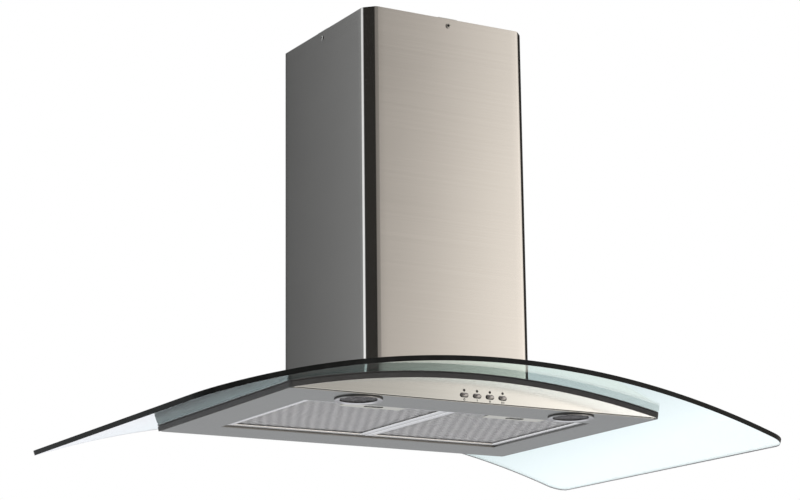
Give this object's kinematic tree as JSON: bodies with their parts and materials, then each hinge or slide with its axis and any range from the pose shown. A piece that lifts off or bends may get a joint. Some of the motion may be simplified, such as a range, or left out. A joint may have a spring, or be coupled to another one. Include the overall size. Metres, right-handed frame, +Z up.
{
  "type": "island range hood",
  "caption": "Island range hood: arched glass canopy on a shallow steel body with grease filters, lamps and push buttons, under a square ceiling chimney with a blower.",
  "frame": {"origin": "centre of the ceiling plate's top face, on the ceiling", "axes": "+Z up, +Y to the back, +X to the right seen from the buttons"},
  "size_m": [0.9, 0.565, 0.5962],
  "materials": {
    "canopy_glass": "clear tempered, polished edges",
    "seal_rubber": "matt black",
    "body_steel": "brushed",
    "chimney_steel": "brushed",
    "galvanised_steel": "galvanised",
    "fastener_zinc": "zinc plated",
    "impeller_plastic": "moulded",
    "motor_paint": "satin paint",
    "capacitor_can": "moulded",
    "terminal_plastic": "moulded",
    "duct_plastic": "moulded",
    "button_chrome": "polished",
    "indicator_plastic": "glossy",
    "bezel_chrome": "polished",
    "lamp_glass": "clear",
    "reflector_aluminium": "bright",
    "bulb_glass": "clear",
    "filter_aluminium": "bright anodised",
    "mesh_aluminium": "expanded mesh",
    "handle_plate": "satin",
    "latch_plastic": "moulded",
    "spring_steel": "spring steel"
  },
  "bodies": {
    "hood": {"glass_canopy": "canopy_glass", "glass_seal": "seal_rubber", "cutout_seal": "seal_rubber", "clamp_pads": "seal_rubber", "front_fascia": "body_steel", "rear_fascia": "body_steel", "bottom_panel": "body_steel", "top_panel": "body_steel", "chimney_cover": "chimney_steel", "fan_box": "galvanised_steel", "outlet_deck": "galvanised_steel", "scroll_wrap": "galvanised_steel", "scroll_side_left": "galvanised_steel", "scroll_side_right": "galvanised_steel", "motor_bracket": "galvanised_steel", "glass_clamp_front": "galvanised_steel", "glass_clamp_rear": "galvanised_steel", "ceiling_frame": "galvanised_steel", "lower_upright_rear_right": "galvanised_steel", "lower_upright_rear_left": "galvanised_steel", "lower_upright_front_left": "galvanised_steel", "lower_upright_front_right": "galvanised_steel", "frame_bolts": "fastener_zinc", "fan_box_screws": "fastener_zinc", "chimney_screws": "fastener_zinc", "damper_pin": "fastener_zinc", "motor_body": "motor_paint", "motor_capacitor": "capacitor_can", "terminal_box": "terminal_plastic", "cable_gland": "terminal_plastic", "switch_block": "terminal_plastic", "outlet_collar": "duct_plastic", "indicator_lenses": "indicator_plastic", "lamp_bezel_left": "bezel_chrome", "lamp_bezel_right": "bezel_chrome", "lamp_lens_left": "lamp_glass", "lamp_lens_right": "lamp_glass", "lamp_reflector_left": "reflector_aluminium", "lamp_reflector_right": "reflector_aluminium", "lamp_bulb_left": "bulb_glass", "lamp_bulb_right": "bulb_glass"},
    "rotor": {"impeller": "impeller_plastic", "motor_shaft": "fastener_zinc"},
    "front_flap": {"damper_flap_front": "duct_plastic"},
    "rear_flap": {"damper_flap_rear": "duct_plastic"},
    "light_key": {"light_button": "button_chrome"},
    "low_speed_key": {"low_speed_button": "button_chrome"},
    "mid_speed_key": {"mid_speed_button": "button_chrome"},
    "high_speed_key": {"high_speed_button": "button_chrome"},
    "left_filter": {"filter_frame_left": "filter_aluminium", "filter_mesh_left": "mesh_aluminium", "filter_handle_left": "handle_plate"},
    "right_filter": {"filter_frame_right": "filter_aluminium", "filter_mesh_right": "mesh_aluminium", "filter_handle_right": "handle_plate"},
    "left_latch": {"filter_latch_left": "latch_plastic", "latch_tongue_left": "spring_steel"},
    "right_latch": {"filter_latch_right": "latch_plastic", "latch_tongue_right": "spring_steel"}
  },
  "joints": [
    {"name": "impeller_spin", "type": "hinge", "parent": "hood", "child": "rotor", "pos_m": [0, -0.008, -0.405], "axis": [1, 0, 0], "continuous": true},
    {"name": "front_flap_swing", "type": "hinge", "parent": "hood", "child": "front_flap", "pos_m": [0, 0, -0.22], "axis": [-1, 0, 0], "range_deg": [0, 75]},
    {"name": "rear_flap_swing", "type": "hinge", "parent": "hood", "child": "rear_flap", "pos_m": [0, 0, -0.22], "axis": [1, 0, 0], "range_deg": [0, 75]},
    {"name": "light_press", "type": "slide", "parent": "hood", "child": "light_key", "axis": [0, 1, 0], "range_m": [0, 0.0025], "stiffness_N_per_m": 400},
    {"name": "low_speed_press", "type": "slide", "parent": "hood", "child": "low_speed_key", "axis": [0, 1, 0], "range_m": [0, 0.0025], "stiffness_N_per_m": 400},
    {"name": "mid_speed_press", "type": "slide", "parent": "hood", "child": "mid_speed_key", "axis": [0, 1, 0], "range_m": [0, 0.0025], "stiffness_N_per_m": 400},
    {"name": "high_speed_press", "type": "slide", "parent": "hood", "child": "high_speed_key", "axis": [0, 1, 0], "range_m": [0, 0.0025], "stiffness_N_per_m": 400},
    {"name": "left_filter_swing", "type": "hinge", "parent": "hood", "child": "left_filter", "pos_m": [-0.11213, 0.125, -0.5557], "axis": [1, 0, 0], "range_deg": [0, 60], "deforming": ["latch_tongue_left"]},
    {"name": "left_latch_slide", "type": "slide", "parent": "left_filter", "child": "left_latch", "axis": [0, 1, 0], "range_m": [0, 0.006], "stiffness_N_per_m": 400},
    {"name": "right_filter_swing", "type": "hinge", "parent": "hood", "child": "right_filter", "pos_m": [0.11213, 0.125, -0.5557], "axis": [1, 0, 0], "range_deg": [0, 60], "deforming": ["latch_tongue_right"]},
    {"name": "right_latch_slide", "type": "slide", "parent": "right_filter", "child": "right_latch", "axis": [0, 1, 0], "range_m": [0, 0.006], "stiffness_N_per_m": 400}
  ]
}
